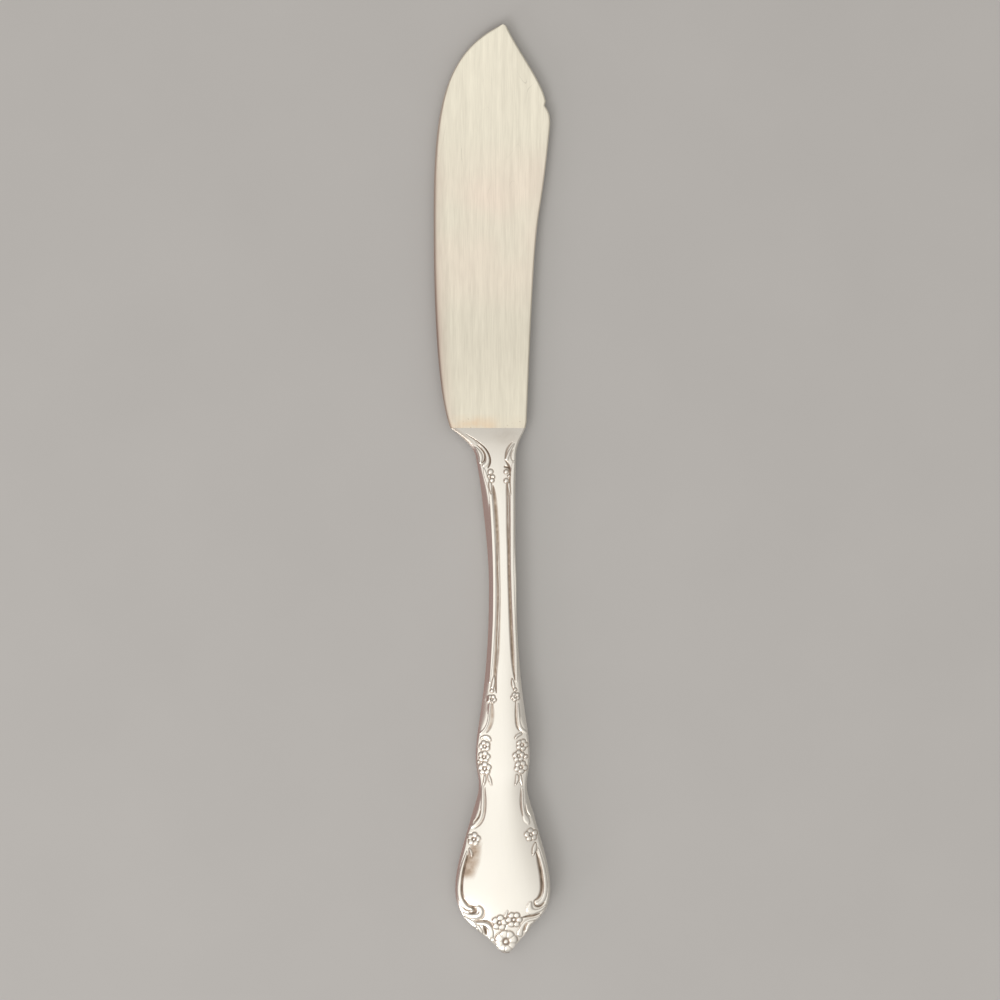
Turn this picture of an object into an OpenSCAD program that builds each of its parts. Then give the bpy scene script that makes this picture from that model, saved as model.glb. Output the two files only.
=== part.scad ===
// Butter knife with a hollow handle. The tang of a steel blade is set in cement inside two
// struck half shells, which are soldered to each other along a seam round the handle's edge.
// The knife lies flat: X runs from the spreading edge to the spine, Y from the handle's end
// to the blade's tip and Z up. Sizes are in millimetres.

/* [Blade] */
// Length of the blade from the joint with the handle to the tip
blade_l = 74.8; // [68:0.1:82]
// Reach of the spreading edge from the handle's axis where it is fullest
edge_reach = 12.8; // [11.5:0.1:14]
// Distance from the joint to the fullest part of the spreading edge
edge_y = 37.5; // [32:0.5:42]
// Reach of the spine's corner from the handle's axis
spine_reach = 8.8; // [8:0.1:9.6]
// Length of the clipped point from the notch to the tip
clip_l = 15; // [13:0.1:17]
// Depth of the notch behind the spine's corner
notch_d = 1; // [0.6:0.1:1.4]
// Reach of the rounded tip's shoulder from the handle's axis
tip_reach = 1.1; // [0.8:0.05:1.4]
// Thickness of the blade
blade_t = 1.6; // [1.5:0.05:1.9]
// Thickness left along the spreading edge
edge_t = 1; // [0.7:0.05:1.2]
// Width of the bevel along the spreading edge, measured across the blade
bevel_w = 1; // [0.6:0.1:2]
// Width of the narrow chamfer along the spine
spine_chamfer = 0.35; // [0.2:0.05:0.5]

/* [Blade root] */
// Reach of the root from the handle's axis on the side of the spreading edge
root_edge = 9.7; // [9:0.1:10.4]
// Reach of the root from the handle's axis on the side of the spine
root_spine = 4.4; // [3.9:0.1:4.7]
// Length of the flat tongue that sits in the handle's mouth
tongue_l = 7; // [5:0.5:9]
// Thickness of the tongue
tongue_t = 0.9; // [0.8:0.05:1.1]
// Length of the tang inside the handle, from the joint
tang_l = 62; // [50:1:70]
// Width of the tang
tang_w = 2; // [1.6:0.1:2.2]
// Thickness of the tang
tang_t = 1.6; // [1.5:0.05:1.8]
// Diameter of the two notches that key the tang into the cement
key_d = 1.2; // [0.8:0.1:1.4]

/* [Handle] */
// Length of the handle from its end to the joint with the blade
handle_l = 97.2; // [92:0.1:106]
// Width of the rounded end lobe
lobe_w = 4; // [3.6:0.1:4.4]
// Distance by which the end lobe sits off the handle's axis, towards the spine's side
lobe_shift = 0.6; // [0.4:0.05:0.8]
// Width over the feet of the two scrolls above the end lobe
feet_w = 6.4; // [5.8:0.1:7]
// Greatest width of the spade-shaped end
spade_w = 17.6; // [16:0.1:20]
// Distance of the greatest width from the handle's end
spade_y = 11.9; // [11:0.1:13]
// Greatest thickness of the spade
spade_t = 6.6; // [6:0.1:7.6]
// Width of the shoulder between the spade and the waist
shoulder_w = 11.9; // [11:0.1:13]
// Distance of the shoulder from the handle's end
shoulder_y = 25; // [23:0.1:26.5]
// Width of the waist above the shoulder
waist_w = 8.9; // [8:0.1:9.6]
// Distance of the waist from the handle's end
waist_y = 31.2; // [30:0.1:33]
// Width of the collar above the waist
collar_w = 10; // [9.7:0.1:11]
// Distance of the collar from the handle's end
collar_y = 36.2; // [35:0.1:38]
// Thickness at the collar
collar_t = 6; // [5.6:0.1:6.6]
// Width of the slender stem
stem_w = 5.15; // [4.8:0.05:5.6]
// Thickness of the stem
stem_t = 4.8; // [4.4:0.1:5.2]
// Length of the flare from the neck out to the blade's root
flare_l = 5.2; // [4.6:0.1:6]
// Reach of the neck from the handle's axis on the side of the spreading edge, where the flare starts
neck_edge = 5.05; // [4.6:0.05:5.4]
// Reach of the neck from the handle's axis on the side of the spine, where the flare starts
neck_spine = 2.45; // [2.4:0.05:2.8]

/* [Border of the handle] */
// Distance of the raised border's crest from the handle's edge
border_in = 0.8; // [0.7:0.05:0.9]
// Height of the raised border
border_h = 0.15; // [0.05:0.05:0.25]
// Distance of the groove inside the border from the handle's edge
groove_in = 1.4; // [1.3:0.05:1.5]
// Depth of the groove
groove_d = 0.15; // [0.05:0.05:0.2]

/* [Shells and bonds] */
// Wall of the struck half shells
wall = 0.4; // [0.35:0.05:0.5]
// Thickness of the solder between the half shells
solder_t = 0.1; // [0.06:0.02:0.2]
// Thickness of the cement between the tongue and the shells
bond_t = 0.05; // [0.03:0.01:0.1]

/* [Hidden] */
// Pieces that can be shown by themselves
// Piece to show

// Overall length, and the shift that puts the foot of the knife's box on the origin
overall_l = handle_l + blade_l;
to_origin = [(edge_reach - max(spine_reach, spade_w / 2)) / 2, -overall_l / 2, spade_t / 2];

// Thickness of the handle's mouth: the tongue, its cement and a wall on each side
mouth_t = tongue_t + 2 * (bond_t + wall);
// Room kept between the tongue's sides and the hollow
tongue_room = 1;
// Solid metal left at the handle's end, up to the feet of the scrolls
end_wall = 3.4;
// Width and thickness of the small flat at the handle's very end
end_flat_w = 1.2;
end_flat_t = 2.6;
// Width of the small flat at the blade's very tip
tip_flat = 0.3;

// Curve of degree three that eases from 0 to 1, and the two that carry a slope at its ends
function ease(t) = t * t * (3 - 2 * t);
function rise(t) = t * (1 - t) * (1 - t);
function fall(t) = t * t * (t - 1);

// Value at y on the smooth curve through knots of [y, value, slope]
function along(knots, y, i = 0) =
    i < len(knots) - 2 && y > knots[i + 1][0]
        ? along(knots, y, i + 1)
        : let (
            a = knots[i],
            b = knots[i + 1],
            run = b[0] - a[0],
            t = min(1, max(0, (y - a[0]) / run))
        ) a[1] + (b[1] - a[1]) * ease(t) + run * (a[2] * rise(t) + b[2] * fall(t));

// Point at t on the curve of degree three with the four control points p
function bezier(p, t) =
    p[0] * pow(1 - t, 3)
    + p[1] * 3 * t * pow(1 - t, 2)
    + p[2] * 3 * t * t * (1 - t)
    + p[3] * pow(t, 3);
function bezier_points(p, steps) = [for (i = [1:steps]) bezier(p, i / steps)];

// Half widths of the handle along Y. The two sides differ at the end lobe, which sits a little
// off the axis, and in the neck, which flares out further on the side of the spreading edge.
// Stations of the end lobe, of the scrolls' feet, of the sides of the point and of the spade's cheeks
lobe_y = 1.8;
edge_foot_y = 2.6;
spine_foot_y = 3;
point_y = 5.2;
cheek_y = 8;
// Stations where the collar has run out, where the stem is thinnest and where the neck starts
collar_top_y = collar_y + 10.6;
collar_top_w = stem_w + 2.5;
stem_y = collar_y + 31.3;
neck_y = handle_l - flare_l;
neck_start_y = neck_y - 8;
body_knots = [
    [spade_y, spade_w / 2, 0],
    [shoulder_y, shoulder_w / 2, -0.26],
    [waist_y, waist_w / 2, 0],
    [collar_y, collar_w / 2, 0],
    [collar_top_y, collar_top_w / 2, -0.13],
    [stem_y, stem_w / 2, 0]
];
edge_side_knots = concat(
    [
        [0, end_flat_w / 2 - lobe_shift, 1.6],
        [lobe_y, lobe_w / 2 - lobe_shift, 0.2],
        [edge_foot_y, feet_w / 2 - lobe_shift, 1.2],
        [point_y, spade_w / 2 - 2.8, 1.1],
        [cheek_y, spade_w / 2 - 0.85, 0.45]
    ],
    body_knots,
    [
        [neck_start_y, neck_edge - 1.2, 0.11],
        [neck_y, neck_edge, 0.2],
        [handle_l, root_edge, 1.2]
    ]
);
spine_side_knots = concat(
    [
        [0, end_flat_w / 2 + lobe_shift, 1],
        [lobe_y, lobe_w / 2 + lobe_shift - 0.1, 0.2],
        [spine_foot_y, feet_w / 2 + lobe_shift, 1.2],
        [point_y, spade_w / 2 - 3.4, 0.8],
        [cheek_y, spade_w / 2 - 0.9, 0.5]
    ],
    body_knots,
    [
        [neck_y - 15, neck_spine - 0.1, 0],
        [neck_y, neck_spine, 0.03],
        [handle_l, root_spine, 0.7]
    ]
);

// Half thickness of the handle along Y
height_knots = [
    [0, end_flat_t / 2, 0.8],
    [spine_foot_y, spade_t * 0.29, 0.3],
    [spade_y + 4, spade_t / 2, 0],
    [waist_y, collar_t / 2 - 0.1, 0],
    [collar_y, collar_t / 2, 0],
    [stem_y, stem_t / 2, 0],
    [neck_start_y, stem_t / 2 - 0.1, -0.04],
    [handle_l, mouth_t / 2, -0.2]
];

// Share of the side wall that stands upright below its bevel
upright_share = 0.6;
// Share of that half thickness which the side wall takes. The rest is the gentle crown on top.
wall_share_knots = [
    [0, 0.88, 0],
    [spade_y, 0.66, 0],
    [stem_y, 0.88, 0],
    [neck_start_y, 0.88, 0],
    [handle_l, 0.97, 0]
];

// Share of the border and groove that is struck at y: none at the end and in the flare
border_knots = [
    [lobe_y, 0, 0],
    [point_y, 1, 0],
    [neck_start_y, 1, 0],
    [neck_y, 0, 0]
];

// Stations along the handle, closer together towards its two ends and closest at its scalloped point
handle_steps = 84;
stations = [for (i = [0:handle_steps]) handle_l * (1 - cos(180 * pow(i / handle_steps, 1.5))) / 2];

// Columns across the section: distances in from the edge, with the relief that each one carries
rim_columns = [
    [0, 0],
    [border_in * 0.07, 0],
    [border_in * 0.3, 0],
    [border_in * 0.6, border_h / 2],
    [border_in, border_h],
    [groove_in, -groove_d],
    [2 * groove_in - border_in, 0]
];
middle_columns = 4;

// Places across the section at y, from the edge side to the spine side, as [x, relief]
function columns(y, inset) =
    let (
        left = inset - along(edge_side_knots, y),
        right = along(spine_side_knots, y) - inset,
        fit = min(1, (right - left) / stem_w),
        last = rim_columns[len(rim_columns) - 1][0] * fit,
        relief = inset > 0 ? 0 : along(border_knots, y)
    ) concat(
        [for (c = rim_columns) [left + c[0] * fit, c[1] * relief]],
        [for (i = [1:middle_columns - 1]) [left + last + (right - left - 2 * last) * i / middle_columns, 0]],
        [for (i = [len(rim_columns) - 1:-1:0])
            [right - rim_columns[i][0] * fit, rim_columns[i][1] * relief]]
    );

// Upper edge of the section at y, from the edge side to the spine side. From height foot a wall
// rises and bevels in to the border's crest, and the crown swells between the two walls.
function crown(y, inset, foot) =
    let (
        places = columns(y, inset),
        left = places[0][0],
        right = places[len(places) - 1][0],
        half = (right - left) / 2,
        bevel_in = min(border_in, half + inset) - inset,
        wall_share = along(wall_share_knots, y),
        top = along(height_knots, y) - inset - foot
    ) [for (p = places)
        let (
            from_edge = min(p[0] - left, right - p[0]),
            bevel_rise = 1 - pow(1 - min(1, from_edge / bevel_in), 1.4),
            wall_rise = from_edge > 0 ? upright_share + (1 - upright_share) * bevel_rise : 0,
            swell = 1 - pow(1 - from_edge / half, 2)
        ) [p[0], y, foot + top * (wall_share * wall_rise + (1 - wall_share) * swell) + p[1]]];

// Section of one half shell, closed along its flat rim
function half_ring(y) = crown(y, 0, solder_t / 2);
// Section of the hollow, shaped like the handle but a wall smaller
function hollow_ring(y) =
    let (upper = crown(y, wall, 0))
        concat(upper, [for (i = [len(upper) - 2:-1:1]) [upper[i][0], y, -upper[i][2]]]);
hollow_stations = concat([end_wall], [for (y = stations) if (y > end_wall) y]);
hollow_rings = [for (y = hollow_stations) hollow_ring(y)];

// Outline of the handle in plan, made smaller all round by inset
function plan(places, inset) = concat(
    [for (y = places) [inset - along(edge_side_knots, y), y]],
    [for (i = [len(places) - 1:-1:0]) [along(spine_side_knots, places[i]) - inset, places[i]]]
);

// Puts the knife's box on the origin
module place() {
    translate(to_origin)
        children();
}

// Solid through rings of points that run clockwise as seen from its end at the first ring
module skin(rings) {
    count = len(rings[0]);
    last = len(rings) - 1;
    points = [for (ring = rings) each ring];
    sides = [for (r = [0:last - 1]) for (i = [0:count - 1])
        let (
            a = r * count + i,
            b = r * count + (i + 1) % count
        ) each [[a, b + count, b], [a, a + count, b + count]]];
    near_end = [for (i = [1:count - 2]) [0, i, i + 1]];
    far_end = [for (i = [1:count - 2]) [last * count, last * count + i + 1, last * count + i]];
    polyhedron(points, concat(sides, near_end, far_end));
}

// Outline of the blade from its root to its tip, along the spreading edge and along the spine
edge_line = let (
    root = [-root_edge, 0],
    full = [-edge_reach, edge_y],
    tip = [-tip_flat / 2, blade_l],
    point_l = blade_l - edge_y
) concat(
    [root],
    bezier_points([root, root + [-1.8, 4], full - [0, edge_y * 0.55], full], 24),
    bezier_points([full, full + [0, point_l * 0.5], tip - [edge_reach * 0.95, point_l * 0.15], tip], 24)
);
spine_line = let (
    root = [root_spine, 0],
    notch = [spine_reach - notch_d, blade_l - clip_l],
    corner = [spine_reach, notch[1] - 3.6],
    nib = notch + [0.2, 0.8],
    shoulder = [tip_reach, blade_l - tip_reach],
    tip = [tip_flat / 2, blade_l]
) concat(
    [root],
    bezier_points([root, root + [2, corner[1] * 0.9], corner - [2.5, corner[1] * 0.46], corner], 20),
    bezier_points([corner, corner + [0.1, 2], notch + [0.7, -1], notch], 7),
    [nib],
    bezier_points([nib, nib + [-0.7, 3.6], shoulder + [2.2, -4.4], shoulder], 14),
    bezier_points([shoulder, shoulder + [-0.25, 0.5], tip + [0.45, 0], tip], 6)
);

// Section of the blade between two points that face each other across it
function blade_ring(i) =
    let (
        edge = edge_line[i],
        spine = spine_line[i],
        share = min(1, (spine[0] - edge[0]) / (3 * bevel_w)),
        flat_edge = edge + [bevel_w * share, 0],
        flat_spine = spine - [spine_chamfer * share, 0],
        spine_t = blade_t - spine_chamfer
    ) [
        [edge[0], edge[1], edge_t / 2],
        [flat_edge[0], flat_edge[1], blade_t / 2],
        [flat_spine[0], flat_spine[1], blade_t / 2],
        [spine[0], spine[1], spine_t / 2],
        [spine[0], spine[1], -spine_t / 2],
        [flat_spine[0], flat_spine[1], -blade_t / 2],
        [flat_edge[0], flat_edge[1], -blade_t / 2],
        [edge[0], edge[1], -edge_t / 2]
    ];

// Tongue and tang of the blade, which lie inside the handle
module blade_root() {
    tongue_in = wall + tongue_room;
    tongue_steps = 12;
    tongue_places = [for (i = [0:tongue_steps]) handle_l - tongue_l * (1 - i / tongue_steps)];
    tang_end = handle_l - tang_l;
    key_x = tang_w / 2 + key_d * 0.2;
    key_y = tang_end + 5 * key_d;
    linear_extrude(tongue_t, center = true)
        polygon(plan(tongue_places, tongue_in));
    linear_extrude(tang_t, center = true)
        difference() {
            translate([-tang_w / 2, tang_end])
                square([tang_w, tang_l - tongue_l / 2]);
            for (side = [-1, 1])
                translate([side * key_x, key_y])
                    circle(d = key_d, $fn = 32);
        }
}

// Steel blade with its tongue and tang
module blade() {
    color([0.86, 0.83, 0.76])
        place() {
            translate([0, handle_l, 0])
                skin([for (i = [0:len(edge_line) - 1]) blade_ring(i)]);
            blade_root();
        }
}

// Half shell of the handle, struck from sheet metal, with the crown upwards
module half_shell() {
    difference() {
        skin([for (y = stations) half_ring(y)]);
        skin(concat(hollow_rings, [[for (p = hollow_ring(handle_l)) p + [0, 1, 0]]]));
    }
}

// Half shell that faces up
module handle_front_shell() {
    color([0.93, 0.9, 0.84])
        place()
            half_shell();
}

// Half shell underneath
module handle_back_shell() {
    color([0.88, 0.85, 0.79])
        place()
            mirror([0, 0, 1])
                half_shell();
}

// Solder between the rims of the half shells
module seam_solder() {
    color([0.7, 0.69, 0.66])
        place()
            linear_extrude(solder_t, center = true)
                difference() {
                    polygon(plan(stations, 0));
                    polygon(plan(concat(hollow_stations, [handle_l + 1]), wall));
                }
}

// Cement that fills the hollow round the tongue and tang
module handle_filler() {
    color([0.55, 0.42, 0.3])
        place()
            difference() {
                skin(hollow_rings);
                blade_root();
            }
}

blade();
handle_front_shell();
handle_back_shell();
seam_solder();
handle_filler();
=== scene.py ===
# Butter knife with a hollow handle, in metres, in the frame of its solids. X runs from the
# spreading edge to the spine, Y from the handle's end to the blade's tip, and Z up.
import math

import bmesh
import bpy
import numpy as np
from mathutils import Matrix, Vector
from mathutils.bvhtree import BVHTree


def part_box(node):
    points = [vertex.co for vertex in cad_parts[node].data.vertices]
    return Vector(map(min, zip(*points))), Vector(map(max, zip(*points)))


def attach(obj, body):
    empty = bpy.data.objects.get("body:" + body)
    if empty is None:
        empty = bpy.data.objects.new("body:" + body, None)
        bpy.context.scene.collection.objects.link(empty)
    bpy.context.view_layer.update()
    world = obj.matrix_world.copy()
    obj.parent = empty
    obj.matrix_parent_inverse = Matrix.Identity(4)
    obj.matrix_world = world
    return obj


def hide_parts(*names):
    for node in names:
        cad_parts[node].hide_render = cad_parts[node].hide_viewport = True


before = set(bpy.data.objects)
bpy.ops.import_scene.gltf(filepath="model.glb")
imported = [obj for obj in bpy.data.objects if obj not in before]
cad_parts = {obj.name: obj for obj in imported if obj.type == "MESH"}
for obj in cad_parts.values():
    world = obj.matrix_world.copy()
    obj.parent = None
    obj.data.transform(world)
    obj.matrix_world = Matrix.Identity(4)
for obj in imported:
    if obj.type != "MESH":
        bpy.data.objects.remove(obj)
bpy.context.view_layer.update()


# Blade
# The blade is blanked from steel sheet, bevelled along its spreading edge and brushed lengthwise.
# Its tongue and tang are one piece with it and are cemented into the handle.
MM = 0.001
blade_low, blade_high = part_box("blade")
blade_half = (blade_high.z - blade_low.z) / 2
mid_z = (blade_high.z + blade_low.z) / 2
joint_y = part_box("handle_front_shell")[1].y
tip_y = blade_high.y

# Distance in from the edge, in millimetres, and share of the blade's half thickness reached there
bevel_profile = [
    (0.0, 0.45), (0.03, 0.55), (0.1, 0.65), (0.22, 0.75), (0.38, 0.84), (0.6, 0.92),
    (0.85, 0.97), (1.2, 0.995), (1.7, 1.0), (2.6, 1.0),
]
spine_profile = [
    (0.0, 0.45), (0.02, 0.65), (0.06, 0.8), (0.11, 0.9), (0.18, 0.96),
    (0.27, 0.99), (0.4, 1.0), (1.0, 1.0),
]
# Along the blade, in millimetres from its tip: share of the bevel's width that is left
bevel_runs = [(0, 0.2), (10, 0.25), (28, 1.0)]
# Painted reflection: a darker rosy tone on the bevel, standing in for the dark side of the room that it
# faces, by distance in from the edge and along the blade from its tip, both in millimetres
bevel_reflection_inwards = [(0, 1.0), (0.4, 0.85), (0.9, 0.6), (1.3, 0.38), (1.9, 0.18), (2.6, 0)]
bevel_reflection_runs = [
    (0, 0.15), (20, 0.3), (27, 0.35), (37, 0.45), (47, 0.65), (57, 0.85), (67, 0.6), (75, 0.4),
]
blade_rows = 320
face_columns = 9
# Share of the blade's width that the two profiles may take where it narrows to the tip
profile_share = 0.8
# Rounding of the spine's corner at the joint: how far it goes in, and over what length
corner_in = 0.22 * MM
corner_run = 1.5 * MM
# Small step off a solid's very end, so that a ray still meets its side
hair = 0.002 * MM
outside = 50 * MM


def solid_of(node):
    """Search tree of a node's surface, for rays."""
    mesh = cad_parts[node].data
    corners = [vertex.co for vertex in mesh.vertices]
    return BVHTree.FromPolygons(corners, [face.vertices for face in mesh.polygons])


def side_of(solid, y, z, side):
    """X at which a ray from the left (-1) or the right (1) meets the solid."""
    start = Vector((side * outside, y, z))
    return solid.ray_cast(start, Vector((-side, 0, 0)))[0].x


def eased(line, reach=3):
    """The line with the corners between its short straight runs rounded off."""
    window = np.ones(2 * reach + 1)
    padded = np.pad(line, reach, mode="reflect", reflect_type="odd")
    return np.convolve(padded, window / len(window), mode="valid")


def corner_at(y):
    """How far in polishing has taken the spine's side at y, on both sides of the joint."""
    return corner_in * np.clip(1 - abs(y - joint_y) / corner_run, 0, 1) ** 2


def lofted(name, rings):
    """Closed mesh through rings of points, smooth along its sides."""
    rows, count = rings.shape[:2]
    index = np.arange(rows * count).reshape(rows, count)
    ahead = np.roll(index, -1, axis=1)
    sides = np.stack([index[:-1], index[1:], ahead[1:], ahead[:-1]], axis=-1).reshape(-1, 4)
    ends = [index[0].tolist(), index[-1, ::-1].tolist()]
    mesh = bpy.data.meshes.new(name)
    mesh.from_pydata(rings.reshape(-1, 3).tolist(), [], sides.tolist() + ends)
    mesh.polygons.foreach_set("use_smooth", [True] * len(sides) + [False] * len(ends))
    return mesh


def placed(name, mesh, material):
    """Object of a piece that rides on the knife's one body and stands for its node."""
    piece = bpy.data.objects.new(name, mesh)
    bpy.context.scene.collection.objects.link(piece)
    mesh.materials.append(material)
    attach(piece, "root")
    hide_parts(name.removesuffix("_dressed"))
    return piece


class Recipe:
    """Nodes of one finish: each call adds a node to the tree and hands back what comes out of it."""

    def __init__(self, tree):
        self.tree = tree

    def feed(self, node, inputs):
        """Sets inputs of a node to values, or links them to what comes out of other nodes."""
        for socket, value in inputs.items():
            if isinstance(value, bpy.types.NodeSocket):
                self.tree.links.new(value, node.inputs[socket])
            else:
                node.inputs[socket].default_value = value

    def add(self, kind, inputs, **settings):
        """The new node itself, of this kind."""
        node = self.tree.nodes.new("ShaderNode" + kind)
        for key, value in settings.items():
            setattr(node, key, value)
        self.feed(node, inputs)
        return node

    def place(self):
        """Place on the object, in metres."""
        return self.add("TexCoord", {}).outputs["Object"]

    def drawn_out(self, place, scale, turn=0):
        """Place scaled on each axis by itself, so that what is laid on it is drawn out into streaks."""
        return self.add("Mapping", {"Vector": place, "Rotation": (0, 0, turn), "Scale": scale}).outputs[0]

    def noise(self, place, scale, detail, warp=0):
        """Cloudy noise between 0 and 1."""
        inputs = {"Vector": place, "Scale": scale, "Detail": detail, "Distortion": warp}
        return self.add("TexNoise", inputs).outputs[0]

    def ranged(self, value, low, high, to_low=0, to_high=1):
        """Value between low and high, brought to the range between to_low and to_high."""
        inputs = {"Value": value, "From Min": low, "From Max": high, "To Min": to_low, "To Max": to_high}
        return self.add("MapRange", inputs).outputs[0]

    def maths(self, operation, *values):
        """Result of one sum."""
        return self.add("Math", dict(enumerate(values)), operation=operation).outputs[0]

    def mixed(self, share, first, second, blend="MIX"):
        """First colour with this share of the second one."""
        inputs = {"Factor": share, "A": first, "B": second}
        return self.add("Mix", inputs, data_type="RGBA", blend_type=blend).outputs["Result"]

    def painted(self, name):
        """Value that the mesh carries at each of its points under this name."""
        return self.add("Attribute", {}, attribute_name=name).outputs["Fac"]


def finish_of(name):
    """New material, its shader and the recipe for its nodes."""
    material = bpy.data.materials.new(name)
    material.use_nodes = True
    tree = material.node_tree
    return material, tree.nodes["Principled BSDF"], Recipe(tree)


def brushed_steel():
    """Steel brushed along the blade, with fine scratches, a painted dark reflection on its bevel and a brown
    film at its root.
    """
    root_steel = (0.87, 0.83, 0.72, 1)
    darker_steel = (0.82, 0.78, 0.68, 1)
    tip_steel = (1.0, 0.96, 0.84, 1)
    # Where the steel is darkest, as a share of the way from the joint to the tip
    darkest = 0.2
    tinge = (0.99, 0.83, 0.74, 1)
    edge_reflection_colour = (0.48, 0.375, 0.33, 1)
    film = (0.83, 0.62, 0.43, 1)
    speck = (0.25, 0.18, 0.12, 1)
    material, shader, steel = finish_of("brushed_blade_steel")
    place = steel.place()
    axes = steel.add("SeparateXYZ", {"Vector": place}).outputs
    to_tip = steel.ranged(axes["Y"], joint_y, tip_y)

    # Brighter towards the tip, with a rosy tinge in clouds round the blade's middle
    colour = steel.mixed(steel.ranged(to_tip, 0, darkest), root_steel, darker_steel)
    colour = steel.mixed(steel.ranged(to_tip, darkest, 1), colour, tip_steel)
    off_middle = steel.maths("ABSOLUTE", steel.maths("SUBTRACT", to_tip, 0.5))
    clouds = steel.ranged(steel.noise(place, 45, 2), 0.35, 0.6, 0, 0.75)
    tinged = steel.maths("MULTIPLY", clouds, steel.ranged(off_middle, 0.22, 0.05))
    colour = steel.mixed(tinged, colour, tinge)

    # Fine and broad streaks of the brush, with a few curved scratches towards the tip
    fine = steel.noise(steel.drawn_out(place, (5200, 260, 60)), 1, 3)
    broad = steel.noise(steel.drawn_out(place, (1100, 45, 20)), 1, 4)
    streaks = steel.maths("ADD", fine, broad)
    swirls = steel.noise(steel.drawn_out(place, (330, 60, 60), turn=0.5), 1, 0, warp=0.6)
    on_line = steel.maths("COMPARE", swirls, 0.5, 0.003)
    near_tip = steel.ranged(to_tip, 0.5, 0.8)
    spots = steel.ranged(steel.noise(place, 110, 1), 0.45, 0.6, 0, 0.16)
    scratches = steel.maths("MULTIPLY", steel.maths("MULTIPLY", on_line, near_tip), spots)
    shade = steel.maths("SUBTRACT", steel.ranged(streaks, 0.76, 1.24, 0.91, 1), scratches)
    colour = steel.mixed(1, colour, shade, blend="MULTIPLY")
    # Painted reflection: the bevel is darkened towards rosy brown, as if it mirrored the room's dark side
    colour = steel.mixed(steel.painted("painted_bevel_reflection"), colour, edge_reflection_colour)

    # Brown film at the joint, most of it towards the spreading edge, and a few dark specks
    near_joint = steel.ranged(axes["Y"], joint_y + 2.8 * MM, joint_y + 0.6 * MM)
    near_edge = steel.ranged(axes["X"], 2 * MM, -2 * MM, 0.15, 1)
    blotches = steel.ranged(steel.noise(place, 300, 4), 0.3, 0.65, 0, 0.8)
    filmed = steel.maths("MULTIPLY", steel.maths("MULTIPLY", near_joint, near_edge), blotches)
    colour = steel.mixed(filmed, colour, film)
    grains = steel.ranged(steel.noise(place, 2200, 1), 0.72, 0.77)
    colour = steel.mixed(steel.maths("MULTIPLY", near_joint, grains), colour, speck)

    roughness = steel.ranged(streaks, 0.7, 1.3, 0.42, 0.3)
    brushing = steel.add("Bump", {"Strength": 0.25, "Distance": 0.01 * MM, "Height": streaks}).outputs[0]
    steel.feed(shader, {"Base Color": colour, "Metallic": 1.0, "Roughness": roughness, "Normal": brushing})
    return material


def blade_mesh():
    """The blade from its joint to its tip, with the tongue and tang of the solid behind it."""
    solid = solid_of("blade")
    to_go = np.linspace(1, 0, blade_rows) ** 2
    y = tip_y - hair - (tip_y - joint_y - 2 * hair) * to_go
    edge = eased(np.array([side_of(solid, v, mid_z, -1) for v in y]))
    spine = np.array([side_of(solid, v, mid_z, 1) for v in y]) - corner_at(y)
    bevel = np.array(bevel_profile)
    back = np.array(spine_profile)[::-1]
    # A profile is measured square to the outline, so it is stretched where the outline slants
    bevel_left = np.interp((tip_y - y) / MM, *zip(*bevel_runs))
    bevel_w = np.outer(bevel_left * np.hypot(1, np.gradient(edge, y)), bevel[:, 0] * MM)
    back_w = np.outer(np.hypot(1, np.gradient(eased(spine), y)), back[:, 0] * MM)
    room = np.minimum(1, profile_share * (spine - edge) / (bevel_w[:, -1] + back_w[:, 0]))
    x_bevel = edge[:, None] + room[:, None] * bevel_w
    x_back = spine[:, None] - room[:, None] * back_w
    across = np.linspace(0, 1, face_columns + 2)[1:-1]
    x_face = x_bevel[:, -1:] + (x_back[:, :1] - x_bevel[:, -1:]) * across
    x = np.concatenate([x_bevel, x_face, x_back], axis=1)
    rise = blade_half * np.concatenate([bevel[:, 1], np.ones(face_columns), back[:, 1]])
    upper = np.stack(np.broadcast_arrays(x, y[:, None], mid_z + rise), axis=-1)
    lower = upper[:, ::-1].copy()
    lower[..., 2] = 2 * mid_z - lower[..., 2]
    surface = lofted("blade_dressed", np.concatenate([upper, lower], axis=1))
    # Share of the painted reflection at each point of the bevel, across it and along the blade
    bevel_reflection_across = np.zeros(len(rise))
    bevel_reflection_across[:len(bevel)] = np.interp(bevel[:, 0], *zip(*bevel_reflection_inwards))
    use = np.interp((tip_y - y) / MM, *zip(*bevel_reflection_runs))
    painted_bevel_reflection = np.outer(use, np.concatenate([bevel_reflection_across, bevel_reflection_across[::-1]]))
    surface.attributes.new("painted_bevel_reflection", "FLOAT", "POINT").data.foreach_set("value", painted_bevel_reflection.ravel())
    joined = bmesh.new()
    joined.from_mesh(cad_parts["blade"].data)
    bmesh.ops.remove_doubles(joined, verts=joined.verts, dist=hair)
    everything = joined.verts[:] + joined.edges[:] + joined.faces[:]
    bmesh.ops.bisect_plane(joined, geom=everything, plane_co=(0, joint_y - hair, 0),
                           plane_no=(0, 1, 0), clear_outer=True)
    bmesh.ops.holes_fill(joined, edges=joined.edges, sides=0)
    for face in joined.faces:
        face.smooth = False
    joined.from_mesh(surface)
    joined.to_mesh(surface)
    joined.free()
    return surface


placed("blade_dressed", blade_mesh(), brushed_steel())


# Half shells of the handle
# Each is struck from sheet metal in a die that shapes the handle and its border of scrolls and
# blossoms in one blow. The two are trimmed alike and soldered rim to rim into a hollow handle.
shell_low, shell_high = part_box("handle_front_shell")
end_y = shell_low.y
handle_l = shell_high.y - end_y
rim_z = shell_low.z
# Place of the handle's axis across the knife, the shells' wall, and the length of their solid end
axis_x = 2 * MM
wall = 0.4 * MM
end_wall = 3.4 * MM
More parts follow.
